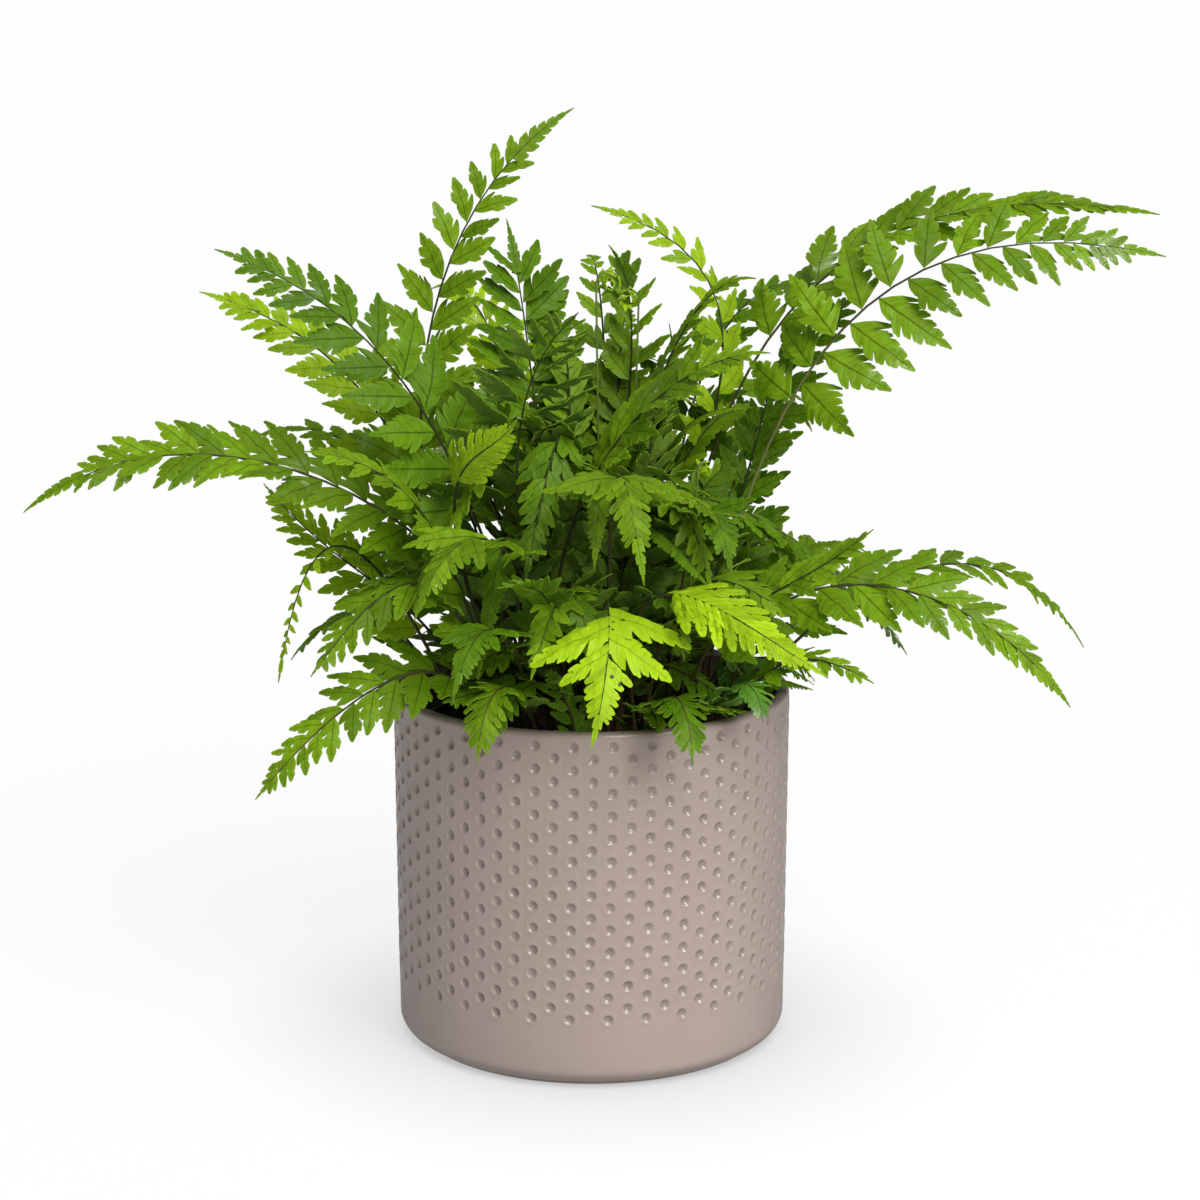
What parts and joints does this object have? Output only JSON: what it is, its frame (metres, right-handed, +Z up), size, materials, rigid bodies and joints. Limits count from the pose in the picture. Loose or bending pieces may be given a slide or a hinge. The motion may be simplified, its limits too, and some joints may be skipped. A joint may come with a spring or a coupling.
{
  "type": "potted athyrium spicatum",
  "caption": "Fern with arching, finely cut fronds, rooted in soil in a plastic nursery pot that stands inside a dimpled, glazed ceramic planter with a flat foot.",
  "frame": {"origin": "middle of the ceramic planter's flat foot, on the surface that it stands on", "axes": "+Z up along the planter's axis; -Y towards the front, the side shown in the picture; +X to the right seen from the front, along the widest spread of the fronds"},
  "size_m": [0.3775, 0.2572, 0.3265],
  "materials": {
    "glaze": "satin",
    "nursery_plastic": "matte",
    "soil": "matte",
    "leaf_deep": "satin",
    "leaf_mid": "satin",
    "leaf_young": "satin"
  },
  "bodies": {
    "root": {"outer_pot": "glaze", "nursery_pot": "nursery_plastic", "soil": "soil", "frond_long_left": "leaf_mid", "frond_upper_left": "leaf_mid", "frond_upper_left_back": "leaf_young", "frond_tall": "leaf_mid", "frond_top_dark": "leaf_deep", "frond_back_yellow": "leaf_young", "frond_front_up": "leaf_deep", "frond_top_yellow": "leaf_young", "frond_right_top": "leaf_mid", "frond_right_flat": "leaf_mid", "frond_right_mid": "leaf_deep", "frond_front_mid": "leaf_mid", "frond_front_bright": "leaf_young", "frond_front_right_bright": "leaf_young", "frond_front_left": "leaf_mid", "frond_front_left_low": "leaf_deep", "frond_young_left": "leaf_young", "frond_rim_left": "leaf_mid", "frond_low_left": "leaf_mid", "frond_left_mid": "leaf_mid", "frond_left_thin": "leaf_mid", "frond_left_hang": "leaf_young", "frond_right_main": "leaf_mid", "frond_right_second": "leaf_mid", "frond_right_low": "leaf_mid", "frond_rim_right": "leaf_deep", "frond_rim_right_back": "leaf_deep", "frond_centre_right": "leaf_mid", "frond_centre_left": "leaf_mid", "frond_crown_mid": "leaf_mid", "frond_crown_right": "leaf_deep", "frond_crown_front": "leaf_mid", "frond_right_inner": "leaf_deep", "frond_right_glossy": "leaf_mid", "frond_centre_low": "leaf_deep", "frond_fill_left": "leaf_deep", "frond_fill_right": "leaf_deep", "frond_front_right_high": "leaf_deep", "frond_young_rim_mid": "leaf_deep", "frond_young_side_right": "leaf_mid", "frond_back_left": "leaf_mid", "frond_back_mid": "leaf_deep", "frond_back_right": "leaf_mid", "frond_back_low_left": "leaf_deep", "frond_back_low_mid": "leaf_mid", "frond_back_low_right": "leaf_deep", "frond_back_up": "leaf_mid", "frond_left_back": "leaf_mid", "frond_right_back": "leaf_mid", "frond_side_low_left": "leaf_mid", "frond_side_low_right": "leaf_deep"}
  },
  "joints": []
}
